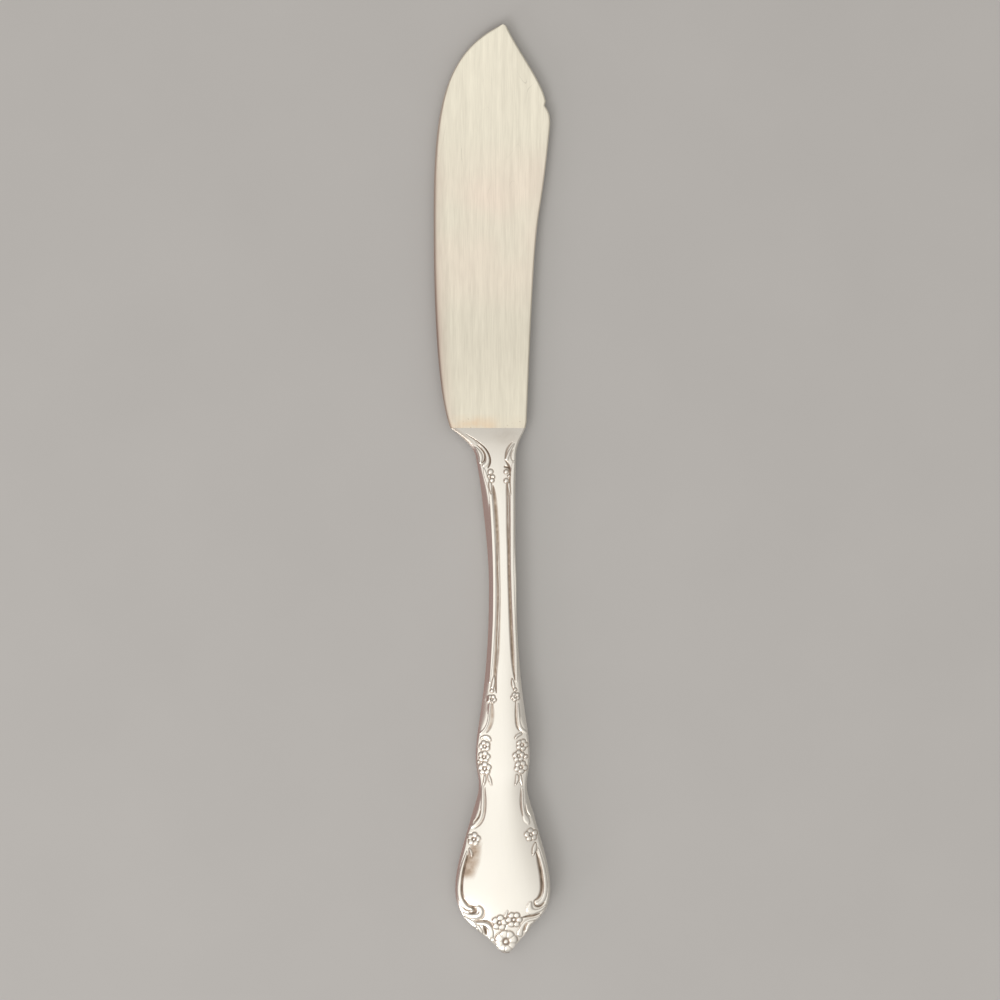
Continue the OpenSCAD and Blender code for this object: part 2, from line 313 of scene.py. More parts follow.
# Runs of rows along the handle: start, end and spacing in millimetres from the handle's end
row_runs = [
    (0, 9, 0.1), (9, 24, 0.13), (24, 31, 0.16), (31, 51.5, 0.13), (51.5, 84, 0.5), (84, 97.2, 0.12),
]
# Stations along the handle at which its outline and its crown are read from the solid
station_count = 85
# Columns across the top, between the bevels of the two flanks
top_columns = 112
# Upright foot of a flank as shares of its height, and its bevel as shares of its width
upright = np.array([0, 0.03, 0.5, 0.9])
bevel_share = np.array([0, 0.05, 0.15, 0.32, 0.5, 0.68, 0.86])
# How much steeper the bevel is at its foot than on the whole, and the most that it narrows inside
bevel_curve = 1.3
bevel_inset = 0.15 * MM
# Along the handle, in millimetres from its end: width of the bevel on the left and on the right, its
# drop for each millimetre of width, the share of the height that the flanks rise, and how far the
# columns are drawn out to the sides
left_bevel = [
    (0, 0.12), (2.5, 0.14), (4, 0.3), (8, 0.4), (12, 0.45), (16, 0.55), (20, 0.6), (22.8, 0.5), (24.2, 0.8),
    (26.5, 1.05), (30, 0.65), (32.5, 0.5), (36, 0.45), (39.5, 0.45), (41.5, 0.8), (44, 1.4), (47, 1.35),
    (52, 1.0), (57, 0.9), (66, 0.82), (72, 0.88), (76, 1.05), (80, 1.28), (84, 1.28), (87, 1.05),
    (90, 0.75), (92.5, 0.85), (94.5, 0.9), (96, 0.6), (97.2, 0.3),
]
right_bevel = [
    (0, 0.12), (2.5, 0.14), (4, 0.3), (8, 0.4), (12, 0.45), (16, 0.5), (20, 0.6), (23, 0.55), (25.2, 0.65),
    (27, 0.9), (30, 0.5), (33, 0.4), (39.5, 0.4), (41.5, 0.6), (44, 1.15), (47, 0.9), (51, 0.6), (57, 0.35),
    (84, 0.3), (90, 0.3), (94, 0.35), (97.2, 0.3),
]
fall_knots = [(0, 0.7), (38, 0.7), (42, 0.46), (47, 0.44), (54, 0.65), (97.2, 0.65)]
share_knots = [(0, 0.88), (12, 0.66), (30, 0.71), (45, 0.8), (58, 0.9), (67, 0.94), (84, 0.94), (97.2, 0.97)]
spread_knots = [(0, 0), (8, 0), (11, 0.5), (20, 0.45), (30, 0.25), (36, 0.15), (97.2, 0)]


def through(knots, values, places):
    """Values at places on the smooth curve through the knots."""
    knots = np.asarray(knots, float)
    values = np.asarray(values, float)
    gaps = np.diff(knots)
    slopes = np.diff(values) / gaps
    stiffness = np.eye(len(knots))
    load = np.zeros(len(knots))
    for i in range(1, len(knots) - 1):
        stiffness[i, i - 1:i + 2] = gaps[i - 1], 2 * (gaps[i - 1] + gaps[i]), gaps[i]
        load[i] = 6 * (slopes[i] - slopes[i - 1])
    bend = np.linalg.solve(stiffness, load)
    i = np.clip(np.searchsorted(knots, places) - 1, 0, len(gaps) - 1)
    gap = gaps[i]
    after = places - knots[i]
    before = knots[i + 1] - places
    curved = (bend[i] * before**3 + bend[i + 1] * after**3) / (6 * gap)
    from_here = (values[i] / gap - bend[i] * gap / 6) * before
    from_next = (values[i + 1] / gap - bend[i + 1] * gap / 6) * after
    return curved + from_here + from_next


def handle_lines(y):
    """Left edge, right edge and crown height above the rim at y, read from the solid shell."""
    solid = solid_of("handle_front_shell")
    turn = math.pi * np.linspace(0, 1, station_count) ** 1.5
    stations = end_y + hair + (handle_l - 2 * hair) * (1 - np.cos(turn)) / 2
    left = [side_of(solid, v, rim_z + hair, -1) for v in stations]
    right = [side_of(solid, v, rim_z + hair, 1) for v in stations]
    down = Vector((0, 0, -1))
    middles = [Vector(((a + b) / 2, v, outside)) for a, b, v in zip(left, right, stations)]
    top = [solid.ray_cast(middle, down)[0].z - rim_z for middle in middles]
    return [through(stations, line, y) for line in (left, right, top)]


# The last two rows lie close together, so that the end at the joint stays crisp
last_rows = [handle_l / MM - 0.01, handle_l / MM]
row_mm = np.concatenate([np.arange(a, b - step / 2, step) for a, b, step in row_runs] + [last_rows])
row_y = end_y + row_mm * MM
left_edge, right_edge, crown_top = handle_lines(row_y)
half_width = (right_edge - left_edge) / 2
centre_line = (right_edge + left_edge) / 2
bevel_lines = [MM * through(*zip(*knots), row_mm) for knots in (left_bevel, right_bevel)]
bevel_w = [np.minimum(line, 0.5 * half_width) for line in bevel_lines]
wall_share = through(*zip(*share_knots), row_mm)
bevel_fall = np.interp(row_mm, *zip(*fall_knots))
spread = np.interp(row_mm, *zip(*spread_knots))


def crowned(rows, columns, inset):
    """Places of the handle's plain surface on these rows and columns, made smaller by inset."""
    half = half_width[rows, None] - inset
    top = crown_top[rows, None] - inset
    share = wall_share[rows, None]

    def crown_at(offset):
        """Height of the crown at this distance from its middle."""
        return top * (1 - (1 - share) * (offset / half) ** 2)

    flanks = []
    for width in bevel_w:
        bevel = width[rows, None] - min(inset, bevel_inset)
        drop = bevel_fall[rows, None] * bevel
        foot = crown_at(half - bevel) - drop
        flank_in = np.concatenate([0 * bevel * upright, bevel * bevel_share], axis=1)
        rise = 1 - (1 - bevel_share) ** bevel_curve
        flank_z = np.concatenate([foot * upright, foot + drop * rise], axis=1)
        flanks.append((bevel, flank_in, flank_z))
    (left_w, left_in, left_z), (right_w, right_in, right_z) = flanks
    across = np.linspace(-1, 1, top_columns + 1)[None, :]
    across = across + spread[rows, None] * np.sin(math.pi * across) / math.pi
    over_top = left_w - half + (across + 1) * (half - (left_w + right_w) / 2)
    offset = np.concatenate([left_in - half, over_top, (half - right_in)[:, ::-1]], axis=1)
    height = np.concatenate([left_z, crown_at(over_top), right_z[:, ::-1]], axis=1)
    y = np.repeat(row_y[rows, None], offset.shape[1], axis=1)
    return np.stack([centre_line[rows, None] + offset, y, rim_z + height], axis=-1)[:, columns]


all_rows = np.arange(len(row_y))
all_columns = np.arange(2 * (len(upright) + len(bevel_share)) + top_columns + 1)
plain = crowned(all_rows, all_columns, 0)
# Place of each point of the surface in plan, in millimetres from the handle's axis and its end
plan_x = (plain[..., 0] - axis_x) / MM
plan_y = (plain[..., 1] - end_y) / MM
# Height of the struck relief at each point, in millimetres, and share of tarnish in its sunk lines, to which
# painted shade on the flare is added below
relief = np.zeros(plan_x.shape)
tarnish_and_shade = np.zeros(plan_x.shape)


# Spacing of the points along a stroke, its least half width, and how far from its middle the surface
# is looked at for a raised band and for a sunk groove, all in millimetres
stroke_step = 0.25
stroke_least = 0.02
band_reach = 1.8
groove_reach = 1.2


def nearest(curves, reach):
    """Distance of each point of the surface from the nearest curve, and that curve's half width."""
    distance = np.full(relief.shape, np.inf)
    width = np.ones(relief.shape)
    for curve in curves:
        points = np.array(curve, float)
        run = np.concatenate([[0], np.cumsum(np.hypot(*np.diff(points[:, :2], axis=0).T))])
        steps = np.linspace(0, run[-1], max(3, int(run[-1] / stroke_step)))
        line = np.stack([through(run, column, steps) for column in points.T], axis=1)
        for (xa, ya, wa), (xb, yb, wb) in zip(line[:-1], line[1:]):
            rows = slice(*np.searchsorted(row_mm, (min(ya, yb) - reach, max(ya, yb) + reach)))
            x = plan_x[rows] - xa
            y = plan_y[rows] - ya
            dx = xb - xa
            dy = yb - ya
            t = np.clip((x * dx + y * dy) / (dx * dx + dy * dy), 0, 1)
            d = np.hypot(x - t * dx, y - t * dy)
            w = np.maximum(wa + t * (wb - wa), stroke_least)
            closer = d / w < distance[rows] / width[rows]
            distance[rows] = np.where(closer, d, distance[rows])
            width[rows] = np.where(closer, w, width[rows])
    return distance, width


def strike(height, *curves, line=0.06, line_w=0.1, dirt=0.75, dome=3):
    """Raises bands along curves of (x, y, half width), with a narrow sunk line round them."""
    distance, width = nearest(curves, band_reach)
    band = np.clip(1 - (distance / width) ** dome, 0, 1) ** 0.6
    reach = np.exp(-(np.maximum(distance - width, 0) / line_w) ** 2)
    relief[:] = relief * (1 - reach) - line * reach + (height + line) * band
    tarnish_and_shade[:] = tarnish_and_shade * (1 - reach) + dirt * reach * np.clip(1 - 1.6 * band, 0, 1)


def carve(depth, *curves, dirt=0.75):
    """Sinks soft grooves along curves of (x, y, half width)."""
    distance, width = nearest(curves, groove_reach)
    groove = np.clip(1 - (distance / width) ** 2, 0, 1) ** 2
    relief[:] -= depth * groove
    tarnish_and_shade[:] = np.maximum(tarnish_and_shade, dirt * groove)


def bead(x, y, size):
    """Curve so short that a bead along it is round."""
    return [(x - 0.02, y, size), (x + 0.02, y, size)]


def blossom(x, y, size, turn=90, petals=5, full=0.44, parted=0.5):
    """Raises a ring of full petals, parted by fine lines, round a bead that sits in a dark hollow."""
    def spot(petal, reach):
        """Place at a share of the size from the middle, towards a petal or between two of them."""
        angle = math.radians(turn + petal * 360 / petals)
        return x + reach * size * math.cos(angle), y + reach * size * math.sin(angle)

    ring = [bead(*spot(i, 1 - full), full * size) for i in range(petals)]
    gaps = [i + 0.5 for i in range(petals)]
    partings = [[(*spot(gap, 0.3), 0.1 * size), (*spot(gap, 0.95), 0.07 * size)] for gap in gaps]
    strike(0.18, *ring, dome=5)
    carve(0.05, *partings, dirt=parted)
    strike(0.08, bead(x, y, 0.18 * size), line=0.04, line_w=0.13 * size, dirt=0.9)


# Stem: a soft groove with a fine ridge down each side of the rib, and the raised border outside
carve(0.12, [(-1.8, 86.6, 0.1), (-1.62, 85.3, 0.44), (-1.42, 83.5, 0.56), (-1.14, 80, 0.56),
             (-0.94, 75, 0.56), (-0.85, 70, 0.57), (-0.78, 65, 0.58), (-0.92, 60, 0.62), (-1.14, 55, 0.62),
             (-1.4, 52, 0.5), (-1.38, 50, 0.36), (-1.2, 48.3, 0.1)], dirt=0.76)
carve(0.12, [(0.75, 87.6, 0.1), (0.95, 86, 0.48), (1.03, 84, 0.54), (1.06, 80, 0.56), (1.12, 75, 0.46),
             (1.2, 70, 0.44), (1.37, 65, 0.46), (1.57, 60, 0.5), (1.78, 56, 0.48), (1.98, 53, 0.36),
             (2.25, 50.6, 0.12)], dirt=0.8)
strike(0.0, [(-0.95, 76, 0.03), (-0.78, 72, 0.1), (-0.65, 66, 0.1), (-0.95, 58, 0.1), (-1.15, 53, 0.03)],
       line_w=0.05, dirt=0.6)
strike(0.0, [(0.95, 86.5, 0.03), (1.03, 84, 0.07), (1.06, 80, 0.07), (1.12, 77, 0.03)],
       line_w=0.05, dirt=0.8)
strike(0.08, [(-3.5, 89.6, 0.15), (-3.25, 88.7, 0.3), (-2.9, 87.6, 0.32), (-2.5, 86.2, 0.3),
              (-2.2, 84, 0.28), (-1.92, 80, 0.28), (-1.68, 75, 0.28), (-1.57, 70, 0.28), (-1.56, 66, 0.28),
              (-1.63, 62, 0.28), (-1.83, 58, 0.26), (-2.08, 54, 0.22), (-2.4, 50.2, 0.12)],
       line=0, dirt=0.05, dome=5)
strike(0.08, [(2.0, 91, 0.2), (1.85, 89.5, 0.3), (1.75, 87.5, 0.33), (1.73, 84.5, 0.33), (1.75, 80, 0.32),
              (1.76, 74, 0.31), (1.83, 69, 0.3), (2.0, 64, 0.28), (2.22, 59, 0.26), (2.38, 56, 0.24),
              (2.52, 52.5, 0.2), (2.6, 50.4, 0.12)], line=0, dirt=0.05, dome=5)

# Neck: a scroll runs down each side of the flare and curls outwards above a spray of buds
strike(0.12, [(-5.0, 94.85, 0.08), (-4.1, 94.0, 0.2), (-3.35, 93.1, 0.26), (-2.9, 92.2, 0.32),
              (-2.78, 91.4, 0.36), (-2.95, 90.7, 0.38), (-3.5, 90.3, 0.3)], line=0.04, dirt=0.4)
strike(0.12, [(-5.0, 93.6, 0.1), (-4.45, 92.8, 0.34), (-4.1, 91.9, 0.42), (-4.15, 90.9, 0.28)],
       line=0.04, dirt=0.3)
carve(0.12, [(-6.8, 96.1, 0.05), (-5.5, 95.3, 0.12), (-4.3, 94.4, 0.15), (-3.3, 93.5, 0.18),
             (-2.65, 92.5, 0.2), (-2.33, 91.5, 0.2), (-2.4, 90.5, 0.2), (-2.7, 89.9, 0.16)], dirt=0.95)
carve(0.12, [(-4.8, 94.1, 0.06), (-3.95, 93.3, 0.14), (-3.4, 92.5, 0.18), (-3.3, 91.7, 0.2),
             (-3.55, 91.0, 0.18), (-3.9, 90.8, 0.08)], dirt=0.95)
strike(0.12, [(2.1, 94.2, 0.08), (1.55, 93.4, 0.2), (1.15, 92.6, 0.26), (0.9, 91.9, 0.3),
              (0.75, 91.5, 0.34)], line=0.03, dirt=0.3)
carve(0.1, [(1.75, 94.6, 0.06), (1.15, 93.9, 0.2), (0.75, 93.1, 0.24), (0.55, 92.3, 0.22),
            (0.45, 91.6, 0.1)], dirt=0.6)
carve(0.08, [(2.0, 93.3, 0.06), (1.5, 92.3, 0.16), (1.6, 91.6, 0.16), (2.1, 90.8, 0.06)], dirt=0.45)
carve(0.16, [(0.5, 91.2, 0.12), (0.95, 90.6, 0.26), (1.2, 90.0, 0.3), (1.3, 89.2, 0.24),
             (1.25, 87.2, 0.18)], dirt=0.8)
carve(0.14, [(0.4, 90.05, 0.26), (1.1, 89.85, 0.3)], dirt=0.95)
for x, y, size in [(-2.25, 89.15, 0.48), (-2.5, 88.35, 0.28), (-1.85, 88.2, 0.38), (-2.0, 87.55, 0.4),
                   (0.65, 89.15, 0.38), (1.15, 88.35, 0.22), (0.65, 87.5, 0.4)]:
    strike(0.16, bead(x, y, size), dirt=0.8, dome=4)
strike(0.14, [(-2.35, 87.0, 0.26), (-2.3, 86.3, 0.26), (-2.12, 85.2, 0.1)])
strike(0.14, [(1.1, 86.9, 0.22), (1.15, 86.3, 0.22), (1.35, 85.0, 0.1)])

# Below the stem: a leaf, a bud and a small blossom on each side
strike(0.14, [(-1.6, 51.3, 0.08), (-1.72, 50.3, 0.3), (-1.92, 49.3, 0.3)])
strike(0.14, [(1.75, 50.8, 0.08), (1.98, 49.7, 0.3), (2.08, 49.3, 0.24)])
strike(0.15, bead(-2.0, 48.65, 0.34), bead(2.35, 48.85, 0.3))
blossom(-2.02, 47.1, 0.85, turn=60)
blossom(2.37, 47.55, 0.82, turn=45)

# Two ridges run on from there, part round the collar's top and end in a curled leaf
carve(0.08, [(-2.0, 46.6, 0.1), (-1.95, 45, 0.55), (-2.0, 43.5, 0.56), (-2.3, 42.2, 0.5),
             (-2.75, 41.3, 0.34), (-3.0, 40.9, 0.12)], dirt=0.55)
carve(0.08, [(2.4, 46.6, 0.1), (2.42, 44.5, 0.3), (2.5, 43, 0.32), (2.75, 41.9, 0.32), (3.05, 41.3, 0.14)],
      dirt=0.75)
strike(0.1, [(-2.4, 46.2, 0.1), (-2.52, 44.5, 0.16), (-2.7, 43, 0.18), (-3.05, 42.0, 0.2),
             (-3.55, 41.25, 0.22), (-4.2, 40.7, 0.14)], line=0.02, dirt=0.2)
strike(0.1, [(2.8, 46.2, 0.12), (2.88, 44.5, 0.2), (3.05, 42.8, 0.24), (3.45, 41.6, 0.3),
             (4.0, 41.1, 0.26), (4.5, 40.8, 0.12)], line=0.02, dirt=0.2)
strike(0.14, [(-4.0, 39.9, 0.18), (-3.2, 40.2, 0.26), (-2.5, 39.9, 0.26), (-2.3, 39.5, 0.16)])
strike(0.14, [(3.4, 40.7, 0.2), (2.75, 40.35, 0.28), (2.45, 40.0, 0.2)])

# Collar: three blossoms down each side above a pair of leaves
blossom(-3.35, 38.4, 1.08, turn=35)
blossom(3.6, 38.65, 1.08, turn=70)
blossom(-3.45, 36.45, 1.15, turn=5)
blossom(2.98, 36.6, 1.1, turn=20)
blossom(-3.35, 34.3, 1.25, turn=90)
blossom(3.38, 34.55, 1.22, turn=60)
strike(0.15, bead(4.3, 36.5, 0.34), bead(-4.45, 35.5, 0.3))
for side, lean in [(-1, 0.0), (1, 0.25)]:
    strike(0.12, [(side * 2.65, 33.0, 0.2), (side * (2.45 + lean), 32.3, 0.3),
                  (side * (2.1 + lean), 31.3, 0.1)])
    strike(0.12, [(side * 3.3, 32.9, 0.18), (side * 3.35, 32.2, 0.24), (side * 3.6, 31.2, 0.1)])

# Shoulder: a long open scroll on each side that curls outwards at its foot
strike(0.1, [(-3.72, 31.2, 0.12), (-3.72, 29, 0.26), (-3.8, 27, 0.3), (-4.0, 25.7, 0.32),
             (-4.5, 24.6, 0.32), (-5.1, 23.9, 0.28), (-5.8, 23.4, 0.2)], line=0.02, dirt=0.15)
carve(0.07, [(-3.35, 30.8, 0.08), (-3.25, 28.5, 0.28), (-3.35, 26.2, 0.3), (-3.75, 24.7, 0.28),
             (-4.5, 23.7, 0.24), (-5.2, 23.2, 0.1)], dirt=0.5)
carve(0.14, [(-4.1, 26.6, 0.1), (-4.35, 25.5, 0.22), (-4.8, 24.8, 0.22), (-5.3, 24.4, 0.1)], dirt=0.9)
strike(0.1, [(3.65, 30.2, 0.12), (3.68, 28, 0.22), (3.82, 26.5, 0.26), (4.05, 25.6, 0.36),
             (4.4, 24.8, 0.55), (4.7, 24.3, 0.35)], line=0.02, dirt=0.3)
carve(0.07, [(3.4, 30.6, 0.08), (3.32, 28.6, 0.26), (3.42, 27.0, 0.26), (3.7, 25.6, 0.18)], dirt=0.55)
carve(0.1, [(4.25, 27.5, 0.08), (4.5, 26.2, 0.22), (5.0, 25.5, 0.16)], dirt=0.5)

# Sides of the spade: a small blossom with a drooping bud on each side
blossom(-5.35, 21.25, 1.25, turn=80)
blossom(5.25, 22.05, 1.2, turn=100)
strike(0.14, [(-6.15, 19.4, 0.16), (-5.9, 18.8, 0.32), (-5.75, 18.0, 0.1)])
strike(0.14, [(6.05, 20.4, 0.16), (5.95, 19.7, 0.4), (5.6, 18.3, 0.1)], dirt=0.9)

# Spade: a broad scroll frames the panel on each side and curls inwards at its foot
strike(0.12, [(-6.65, 18.8, 0.12), (-7.15, 17.2, 0.26), (-7.72, 15, 0.34), (-8.0, 13, 0.38),
              (-8.05, 11.5, 0.4), (-7.8, 10.2, 0.44), (-7.25, 9.1, 0.42), (-6.5, 8.45, 0.36),
              (-5.8, 8.25, 0.28)], line=0.03, dirt=0.2)
strike(0.12, [(6.6, 19.4, 0.12), (7.1, 17.5, 0.27), (7.58, 15.5, 0.33), (7.85, 13.5, 0.36),
              (7.88, 11.8, 0.38), (7.6, 10.4, 0.38), (7.05, 9.6, 0.4), (6.45, 9.3, 0.36)],
       line=0.03, dirt=0.2)
carve(0.12, [(-6.5, 18.3, 0.1), (-6.88, 17, 0.22), (-7.34, 15, 0.26), (-7.56, 13, 0.28),
             (-7.58, 11.5, 0.3), (-7.3, 10.3, 0.33), (-6.7, 9.4, 0.34), (-6.1, 8.85, 0.34),
             (-5.5, 8.7, 0.3), (-4.9, 8.85, 0.12)], dirt=0.9)
carve(0.12, [(6.2, 18.9, 0.1), (6.55, 17.5, 0.4), (6.98, 15.5, 0.5), (7.22, 13.5, 0.5), (7.25, 12, 0.5),
             (7.0, 11, 0.44), (6.55, 10.3, 0.34), (5.9, 9.9, 0.14)], dirt=0.95)
carve(0.08, [(-7.7, 8.9, 0.06), (-7.0, 8.2, 0.16), (-6.3, 7.9, 0.16), (-5.8, 7.85, 0.08)], dirt=0.8)

# Point: leafy scrolls fill the corners under the panel
carve(0.2, [(-5.6, 8.55, 0.2), (-5.15, 8.15, 0.5), (-5.3, 7.6, 0.44), (-6.2, 7.55, 0.14)], dirt=1)
carve(0.1, [(-4.4, 9.1, 0.12), (-3.6, 8.4, 0.3), (-3.45, 7.4, 0.32), (-3.95, 6.5, 0.3),
            (-5.2, 6.15, 0.16)], dirt=0.6)
strike(0.12, [(-4.9, 8.75, 0.14), (-4.25, 8.4, 0.34), (-4.05, 7.7, 0.4), (-4.4, 7.1, 0.42),
              (-5.2, 6.9, 0.42), (-6.2, 6.95, 0.38), (-7.2, 7.5, 0.16)], line=0.04, dirt=0.4)
strike(0.14, [(-7.0, 6.75, 0.12), (-6.2, 6.05, 0.34), (-5.4, 5.4, 0.5), (-4.95, 5.0, 0.3)],
       line=0.04, dirt=0.5, dome=5)
carve(0.14, [(-5.0, 5.95, 0.12), (-3.7, 6.05, 0.26), (-2.55, 5.8, 0.3), (-1.85, 5.0, 0.26)], dirt=0.95)
strike(0.14, [(-4.8, 5.55, 0.18), (-3.9, 5.5, 0.28), (-3.0, 5.3, 0.36), (-2.4, 4.7, 0.44),
              (-2.15, 3.9, 0.48), (-2.2, 3.1, 0.5), (-2.3, 2.6, 0.3)], line=0.03, dirt=0.3, dome=4)
carve(0.2, [(-3.5, 5.0, 0.18), (-3.2, 4.3, 0.5), (-3.1, 3.6, 0.3)], dirt=1)
strike(0.14, [(-4.6, 5.1, 0.16), (-4.25, 4.5, 0.32), (-3.9, 3.9, 0.24)], line=0.03, dirt=0.4)
strike(0.14, bead(-1.75, 2.4, 0.42), line=0.03, dirt=0.4)
carve(0.14, [(5.85, 9.8, 0.12), (5.95, 9.1, 0.24), (6.4, 8.75, 0.26), (7.1, 8.9, 0.24), (7.7, 9.5, 0.12)],
      dirt=0.95)
strike(0.14, [(7.9, 8.9, 0.1), (7.1, 8.2, 0.26), (6.1, 7.85, 0.38), (5.1, 7.95, 0.7), (4.95, 8.6, 0.52),
              (5.1, 9.4, 0.3)], line=0.03, dirt=0.35, dome=4)
carve(0.14, [(3.7, 6.7, 0.14), (4.6, 6.9, 0.28), (5.6, 7.0, 0.28), (6.9, 7.45, 0.1)], dirt=0.95)
strike(0.14, [(7.0, 7.0, 0.1), (6.0, 6.45, 0.24), (5.0, 6.2, 0.3), (4.2, 5.75, 0.32), (3.6, 5.0, 0.36),
              (3.25, 4.1, 0.48), (3.2, 3.55, 0.52)], line=0.03, dirt=0.4, dome=4)
strike(0.14, [(5.7, 5.95, 0.12), (4.95, 5.5, 0.34), (4.6, 4.8, 0.34), (4.25, 4.0, 0.16)],
       line=0.03, dirt=0.4)
carve(0.14, [(4.55, 5.75, 0.1), (4.15, 5.1, 0.26), (3.95, 4.3, 0.2)], dirt=0.95)

# Three blossoms at the handle's end, the largest of them on the point itself
strike(0.1, [(0.5, 7.0, 0.3), (0.7, 7.5, 0.24), (0.9, 8.0, 0.08)], dirt=0.4)
blossom(-0.55, 5.75, 1.5, turn=10)
blossom(2.12, 6.3, 1.5, turn=0, petals=6, full=0.38, parted=0.7)
blossom(0.62, 2.2, 2.15, turn=60, petals=8, full=0.5, parted=0.22)

# Painted shade in the hollow of the flare, a faint brown that darkens its slope: its middle and how far it
# spreads, in millimetres
flare_shade_at = (0.8, 95.5)
flare_shade_spread = (2.5, 1.8)
flare_shade_share = 0.14
flare_shade_x = (plan_x - flare_shade_at[0]) / flare_shade_spread[0]
flare_shade_y = (plan_y - flare_shade_at[1]) / flare_shade_spread[1]
tarnish_and_shade = np.maximum(tarnish_and_shade, flare_shade_share * np.exp(-flare_shade_x ** 2 - flare_shade_y ** 2))

# Painted shade along the left shoulder of the flare, a darker tan that dims the lamp's highlight there, by
# distance in from its edge and along the handle
shoulder_w = 1.4
shoulder_y = 93
shoulder_run = 1.5
shoulder_shade_share = 0.42
shoulder_in = plan_x - (left_edge[:, None] - axis_x) / MM
shoulder_shade = shoulder_shade_share * np.clip(shoulder_w - shoulder_in, 0, 1)
shoulder_shade *= np.clip((plan_y - shoulder_y) / shoulder_run, 0, 1)
tarnish_and_shade = np.maximum(tarnish_and_shade, shoulder_shade)

# The relief fades out towards the rim, where the two shells have to meet
fade_w = 0.15 * MM
from_rim = np.minimum(plain[..., 0] - left_edge[:, None], right_edge[:, None] - plain[..., 0])
fade = np.clip(from_rim / fade_w, 0, 1)
relief *= fade
tarnish_and_shade *= fade
along_rows = np.gradient(plain, axis=0)
along_columns = np.gradient(plain, axis=1)
outward = np.cross(along_columns, along_rows)
outward /= np.linalg.norm(outward, axis=-1, keepdims=True)
struck = plain + outward * relief[..., None] * MM
# The rim stays in its plane, and the two ends stay square
struck[:, [0, -1]] = plain[:, [0, -1]]
struck[[0, -1], :, 1] = plain[[0, -1], :, 1]
# The flare is dressed flush with the blade, and its corner is rounded with the spine's
flush_run = 3.2
flush_top = mid_z + blade_half + 0.01 * MM - rim_z
to_joint = np.clip(1 - (handle_l / MM - row_mm) / flush_run, 0, 1)[:, None] ** 2
to_right = np.clip((plain[..., 0] - centre_line[:, None]) / half_width[:, None], 0, 1)
struck[..., 2] = rim_z + (struck[..., 2] - rim_z) * (1 - (1 - flush_top / crown_top[-1]) * to_joint)
struck[..., 0] -= corner_at(row_y)[:, None] * to_right
# Painted reflection: a dark brown patch on the upper left of the panel, kept off whatever stands up there.
# It lies along a leaning line, in millimetres in plan.
reflection_foot = (-6.9, 15)
reflection_lean = 0.35
reflection_y = 17.2
reflection_half_l = 3.2
reflection_share = 0.7
reflection_in = plan_x - reflection_foot[0] - reflection_lean * (plan_y - reflection_foot[1])
reflection_w = np.interp(plan_y, (17, 20), (2.2, 1.4))
painted_reflection = reflection_share * np.clip(1 - (reflection_in / reflection_w) ** 2, 0, 1) ** 0.8
painted_reflection *= np.clip((reflection_in + 1.1) / 0.5, 0, 1) * np.exp(-((plan_y - reflection_y) / reflection_half_l) ** 8)
painted_reflection *= np.clip(1 - relief / 0.1, 0.25, 1)


def every(step, first, count):
    """Every so many rows or columns from the first one on, and the last one of all."""
    return np.append(np.arange(first, count - step + 2, step), count - 1)


# First row behind which the handle is hollow, and how many rows and columns of the struck surface go
# to one of the plain lining
hollow_row = np.searchsorted(row_mm, end_wall / MM)
lining_rows = 8
lining_columns = 6


def shell_mesh(name, facing, darkness):
    """Closed half shell that faces up (1) or down (-1), with a plain hollow behind the relief."""
    rows, columns = struck.shape[:2]
    outer = np.arange(rows * columns).reshape(rows, columns)
    row_pick = every(lining_rows, hollow_row, rows)
    column_pick = every(lining_columns, 0, columns)
    hollow = crowned(row_pick, column_pick, wall)
    inner = rows * columns + np.arange(hollow.shape[0] * hollow.shape[1]).reshape(hollow.shape[:2])
    points = np.concatenate([struck.reshape(-1, 3), hollow.reshape(-1, 3)])
    skin = np.stack([outer[:-1, :-1], outer[:-1, 1:], outer[1:, 1:], outer[1:, :-1]], -1).reshape(-1, 4)
    lining = np.stack([inner[:-1, :-1], inner[1:, :-1], inner[1:, 1:], inner[:-1, 1:]], -1).reshape(-1, 4)
    foot = [*outer[:hollow_row + 1, 0], inner[0, 0], inner[0, -1], *outer[hollow_row::-1, -1]]
    edges = [outer[0, ::-1].tolist(), inner[0].tolist(), foot]
    for i, (a, b) in enumerate(zip(row_pick[:-1], row_pick[1:])):
        edges.append([*outer[a:b + 1, 0], inner[i + 1, 0], inner[i, 0]])
        edges.append([inner[i, -1], inner[i + 1, -1], *outer[a:b + 1, -1][::-1]])
    for i, (a, b) in enumerate(zip(column_pick[:-1], column_pick[1:])):
        edges.append([*outer[-1, a:b + 1], inner[-1, i + 1], inner[-1, i]])
    faces = skin.tolist() + lining.tolist() + [[int(v) for v in face] for face in edges]
    if facing < 0:
        points[:, 2] = 2 * mid_z - points[:, 2]
        faces = [face[::-1] for face in faces]
    mesh = bpy.data.meshes.new(name)
    mesh.from_pydata(points.tolist(), [], faces)
    smooth = [True] * (len(skin) + len(lining)) + [False] * len(edges)
    mesh.polygons.foreach_set("use_smooth", smooth)
    dark = mesh.attributes.new("tarnish_and_shade", "FLOAT", "POINT")
    dark.data.foreach_set("value", np.append(darkness.ravel(), np.zeros(hollow[..., 0].size)))
    return mesh


